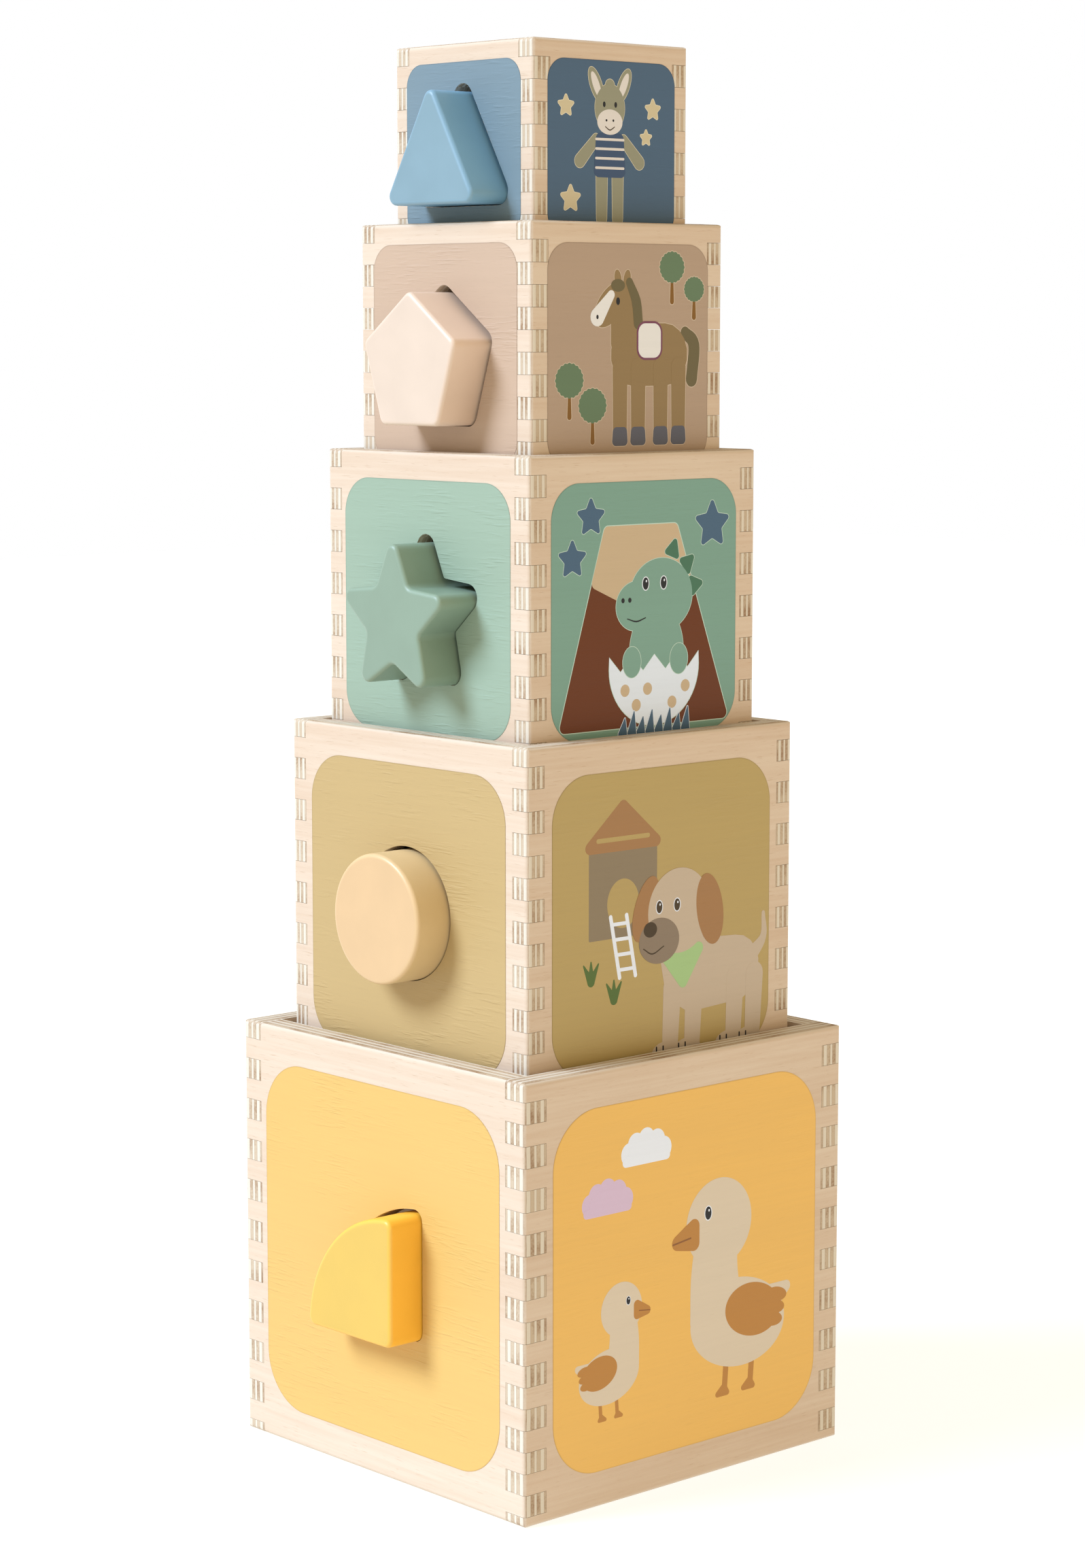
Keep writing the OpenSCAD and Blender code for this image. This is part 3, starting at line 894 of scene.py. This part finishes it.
# ---- Blocks --------------------------------------------------------------------------------------
# Five loose blocks of solid wood, sawn to the shape of their hole, rounded over along both ends and
# spray-painted in a satin coat. Each lies in its hole and can be pulled out or pushed through.
BLOCKS = ("quarter_block", "round_block", "star_block", "pentagon_block", "triangle_block")
BLOCK_SLOTS = ("yellow", "beige", "sage", "cream", "light_blue")
BLOCK_PAINT = (
    tone(205, 170, 79),
    tone(203, 170, 127),
    tone(127, 147, 128),
    tone(206, 187, 168),
    tone(121, 149, 160),
)
# Painted light and shade: colours for the blocks' sides, matched to how the sides look in their warm
# side light
BLOCK_SIDE_PAINTED_LIGHT = (
    tone(247, 186, 60),
    tone(208, 182, 135),
    tone(127, 150, 131),
    tone(216, 192, 171),
    tone(112, 157, 185),
)
END_R = 1.5 * MM
# A narrow ring round each flat end, inside its rounded edge, that keeps the end flat in smooth shading
FLAT_RING = 0.4 * MM


def block_paint(name, colour, sides):
    """Satin paint, faintly mottled, a little paler on the rounded edges as a painted highlight, and on
    the sides, where the flank attribute is 1, of a second colour holding painted light and shade."""
    material, tree, shader = new_finish(name, 0.4, 0.45)
    place = tree.nodes.new("ShaderNodeTexCoord").outputs["Object"]
    cloudy = noise(tree, place, (60, 60, 60), 3.0)
    peel = noise(tree, place, (900, 900, 900), 2.0)
    fibres = noise(tree, place, (700, 30, 90), 2.0)
    # The edge attribute carries a painted highlight along the rounded edges
    thin = add(tree, "Attribute", attribute_name="edge").node.outputs["Fac"]
    flank = add(tree, "Attribute", attribute_name="flank").node.outputs["Fac"]
    mottle = span(tree, cloudy, 0.35, 0.65)
    coat = mix(tree, mottle, shade(colour, 0.955), colour)
    # Painted light and shade: the sides take their second colour
    coat = mix(tree, flank, coat, mix(tree, mottle, shade(sides, 0.955), sides))
    # Painted highlight: paler along the rounded edges
    coat = mix(tree, calc(tree, "MULTIPLY", thin, 0.35), coat, shade(colour, 1.25))
    tree.links.new(coat, shader.inputs["Base Color"])
    tree.links.new(span(tree, cloudy, 0.3, 0.7, 0.36, 0.46), shader.inputs["Roughness"])
    relief(tree, shader, calc(tree, "ADD", peel, calc(tree, "MULTIPLY", fibres, 0.8)), 0.04 * MM, 0.5)
    return material


def block(k, material):
    """The outline drawn in and carried from front to back: the first and last rings run through a
    quarter circle, drawn in by r (1 - sin a) and set back by r (1 - cos a), and flat ends close them."""
    node = BLOCKS[k - 1]
    low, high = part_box(node)
    outline, normals = block_outline(k)
    left, right, top = outline[:, 0].min(), outline[:, 0].max(), outline[:, 1].max()
    shift = np.array([(low.x + high.x) / 2 - (left + right) / 2, high.z - top])
    arc = np.linspace(0, 90, 7)
    cosine, sine = turn(arc).T
    inset = np.concatenate([[END_R + FLAT_RING], END_R * (1 - sine), [0.0]])
    setback = np.concatenate([[0.0], END_R * (1 - cosine), [(high.y - low.y) / 2]])
    # How strong the painted highlight is around the rounding, strongest halfway round it
    edge = np.concatenate([[0.0], np.sin(np.radians(2 * arc)), [0.0]])
    # Where the sides' colour, with its painted light and shade, takes over
    flank = np.concatenate([[0.0], sine, [1.0]])
    inset = np.concatenate([inset, inset[-2::-1]])
    depth = np.concatenate([low.y + setback, high.y - setback[-2::-1]])
    flat = outline - normals * inset[:, None, None] + shift
    away = np.broadcast_to(depth[:, None], flat.shape[:2])
    rings = np.stack([flat[..., 0], away, flat[..., 1]], -1)
    points, faces = closed(rings)
    made = piece(f"painted_{node}", points, faces, material, node)
    made.data.polygons.foreach_set("use_smooth", np.ones(len(faces), bool))
    for name, share in (("edge", edge), ("flank", flank)):
        spread = np.repeat(np.concatenate([share, share[-2::-1]]), len(outline))
        made.data.attributes.new(name, "FLOAT", "POINT").data.foreach_set("value", spread)
    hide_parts(node)


for k in CUBES:
    name = f"{BLOCK_SLOTS[k - 1].replace('_', ' ')} block paint"
    block(k, block_paint(name, BLOCK_PAINT[k - 1], BLOCK_SIDE_PAINTED_LIGHT[k - 1]))

# ---- Studio --------------------------------------------------------------------------------------
# A plain floor of frosted acrylic, lit white from below. A wide cool lamp lights the hole side from
# above on its left, a weak warm one the picture side, in a warm dim room with a white backdrop.
FLOOR_HALF = 4.0
FLOOR_GLOW = (0.86, 0.84, 0.79, 1)
# Where each lamp's light comes from, how much of it falls on a surface that faces it, its colour, and
# how many degrees wide it looks
KEY_FROM = (-0.32, -0.70, 0.64)
KEY_LIGHT = 4.7
KEY_COLOUR = (0.65, 0.78, 1.0)
KEY_WIDTH = 25
FILL_FROM = (0.97, 0.1, 0.22)
FILL_LIGHT = 0.55
FILL_COLOUR = (1.0, 0.6, 0.1)
FILL_WIDTH = 60
ROOM_LIGHT = (0.70, 0.62, 0.50, 1)
CAMERA_PLACE = (0.879, -0.787, 0.375)
CAMERA_YAW = -47.9
CAMERA_PITCH = 7.3
CAMERA_LENS = 82


def acrylic():
    """Frosted acrylic with a faint tooth, which glows nearly white."""
    material, tree, shader = new_finish("studio floor", 0.9, 0.1)
    tooth = noise(tree, tree.nodes.new("ShaderNodeTexCoord").outputs["Object"], (300, 300, 300), 2.0)
    sheet = mix(tree, tooth, (0.23, 0.23, 0.22, 1), (0.26, 0.26, 0.25, 1))
    tree.links.new(sheet, shader.inputs["Base Color"])
    shader.inputs["Emission Color"].default_value = FLOOR_GLOW
    shader.inputs["Emission Strength"].default_value = 1
    return material


floor_mesh = bpy.data.meshes.new("floor")
floor_corners = [(FLOOR_HALF * x, FLOOR_HALF * y, 0) for x, y in ((-1, -1), (1, -1), (1, 1), (-1, 1))]
floor_mesh.from_pydata(floor_corners, [], [(0, 1, 2, 3)])
floor_mesh.materials.append(acrylic())
floor = bpy.data.objects.new("floor", floor_mesh)
bpy.context.scene.collection.objects.link(floor)


def lamp(name, light_from, light, colour, width):
    """A distant lamp so many degrees wide, whose light comes from a direction."""
    data = bpy.data.lights.new(name, "SUN")
    data.energy = light
    data.color = colour
    data.angle = np.radians(width)
    made = bpy.data.objects.new(name, data)
    made.location = light_from
    made.rotation_euler = (-Vector(light_from)).to_track_quat("-Z", "Y").to_euler()
    bpy.context.scene.collection.objects.link(made)


lamp("key lamp", KEY_FROM, KEY_LIGHT, KEY_COLOUR, KEY_WIDTH)
lamp("fill lamp", FILL_FROM, FILL_LIGHT, FILL_COLOUR, FILL_WIDTH)

world = bpy.data.worlds.new("studio")
world.use_nodes = True
bpy.context.scene.world = world
room = world.node_tree.nodes["Background"]
room.inputs["Color"].default_value = ROOM_LIGHT
backdrop = world.node_tree.nodes.new("ShaderNodeBackground")
backdrop.inputs["Color"].default_value = (1, 1, 1, 1)
seen = world.node_tree.nodes.new("ShaderNodeLightPath")
either = world.node_tree.nodes.new("ShaderNodeMixShader")
world.node_tree.links.new(seen.outputs["Is Camera Ray"], either.inputs[0])
world.node_tree.links.new(room.outputs[0], either.inputs[1])
world.node_tree.links.new(backdrop.outputs[0], either.inputs[2])
world.node_tree.links.new(either.outputs[0], world.node_tree.nodes["World Output"].inputs["Surface"])

camera_data = bpy.data.cameras.new("camera")
camera_data.lens = CAMERA_LENS
camera_data.sensor_width = 36
camera = bpy.data.objects.new("camera", camera_data)
swing = Matrix.Rotation(np.radians(-CAMERA_YAW), 4, "Z")
aim = swing @ Matrix.Rotation(np.radians(90 - CAMERA_PITCH), 4, "X")
camera.matrix_world = Matrix.Translation(CAMERA_PLACE) @ aim
bpy.context.scene.collection.objects.link(camera)
bpy.context.scene.camera = camera
bpy.context.scene.view_settings.view_transform = "Standard"
